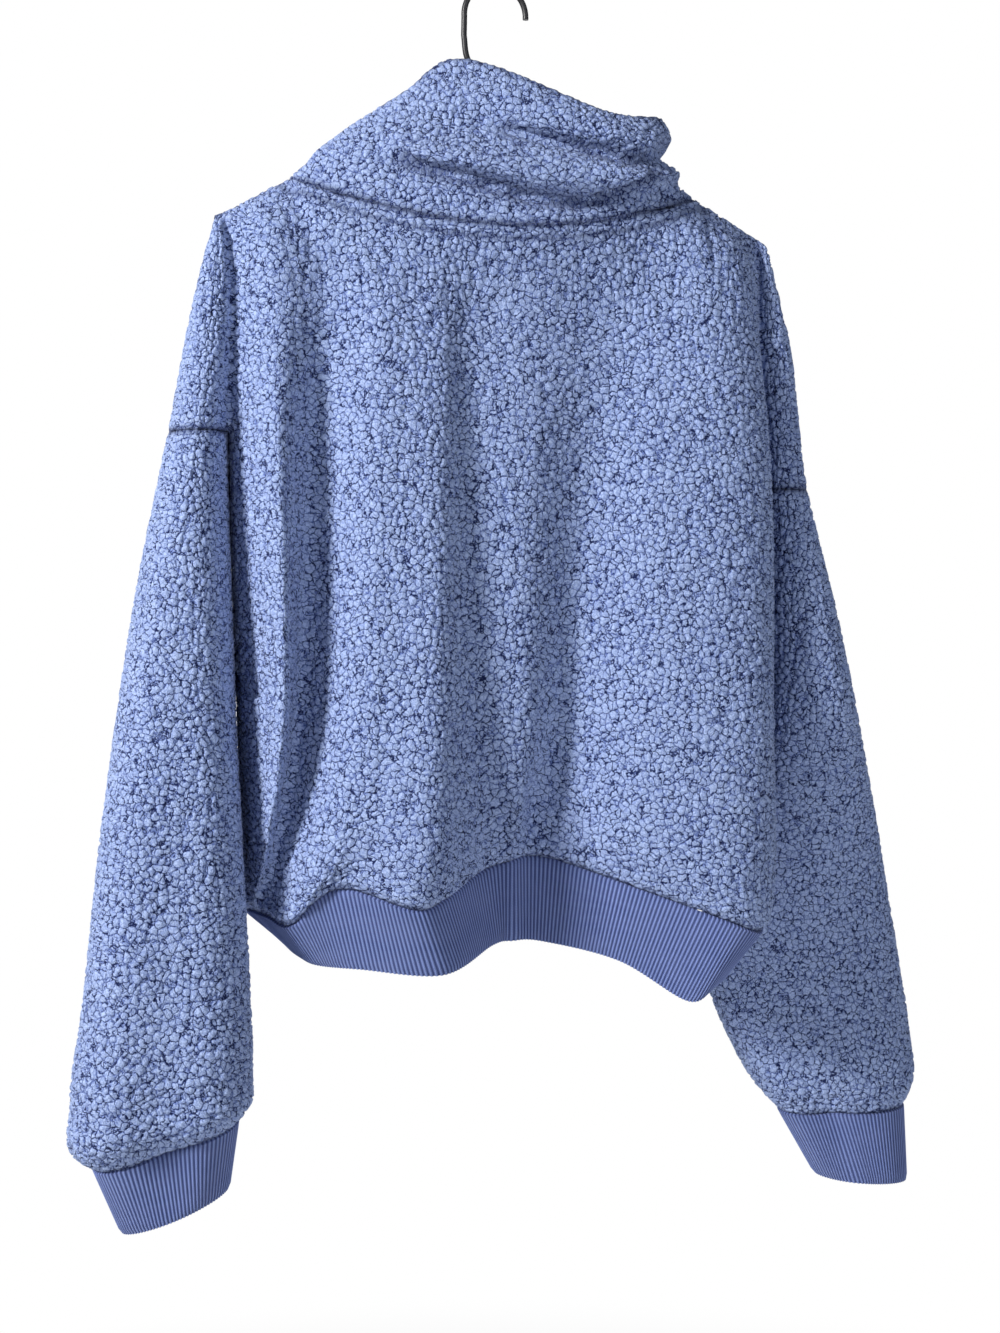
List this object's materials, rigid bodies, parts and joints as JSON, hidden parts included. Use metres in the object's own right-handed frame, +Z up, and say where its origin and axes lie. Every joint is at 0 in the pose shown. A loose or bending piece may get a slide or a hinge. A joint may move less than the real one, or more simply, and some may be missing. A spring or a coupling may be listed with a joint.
{
  "type": "sherpa jacket on a hanger",
  "caption": "Cropped periwinkle-blue sherpa fleece jacket with drop shoulders, a slouching stand-up collar and rib-knit hem and cuffs, hanging on a plain black hanger, seen from behind.",
  "frame": {"origin": "top of the hook's inner curve, where a rail carries it", "axes": "+Z up, -Y the jacket's back, +X the wearer's right"},
  "size_m": [0.5994, 0.1753, 0.8254],
  "materials": {
    "sherpa": "napped",
    "rib": "rib knit",
    "zip": "woven tape",
    "zip_metal": "satin",
    "hanger": "satin"
  },
  "bodies": {
    "jacket": {"back": "sherpa", "front_left": "sherpa", "front_right": "sherpa", "sleeve_left": "sherpa", "sleeve_right": "sherpa", "collar": "sherpa", "hem_band": "rib", "cuff_left": "rib", "cuff_right": "rib", "zip": "zip", "zip_slider": "zip_metal", "hanger": "hanger", "hook": "hanger"},
    "pull_tab": {"pull_tab": "zip_metal"}
  },
  "joints": [
    {"name": "pull_tab_hinge", "type": "hinge", "parent": "jacket", "child": "pull_tab", "pos_m": [0.00899, 0.09091, -0.12653], "axis": [1, 0, 0], "range_deg": [0, 110]}
  ]
}
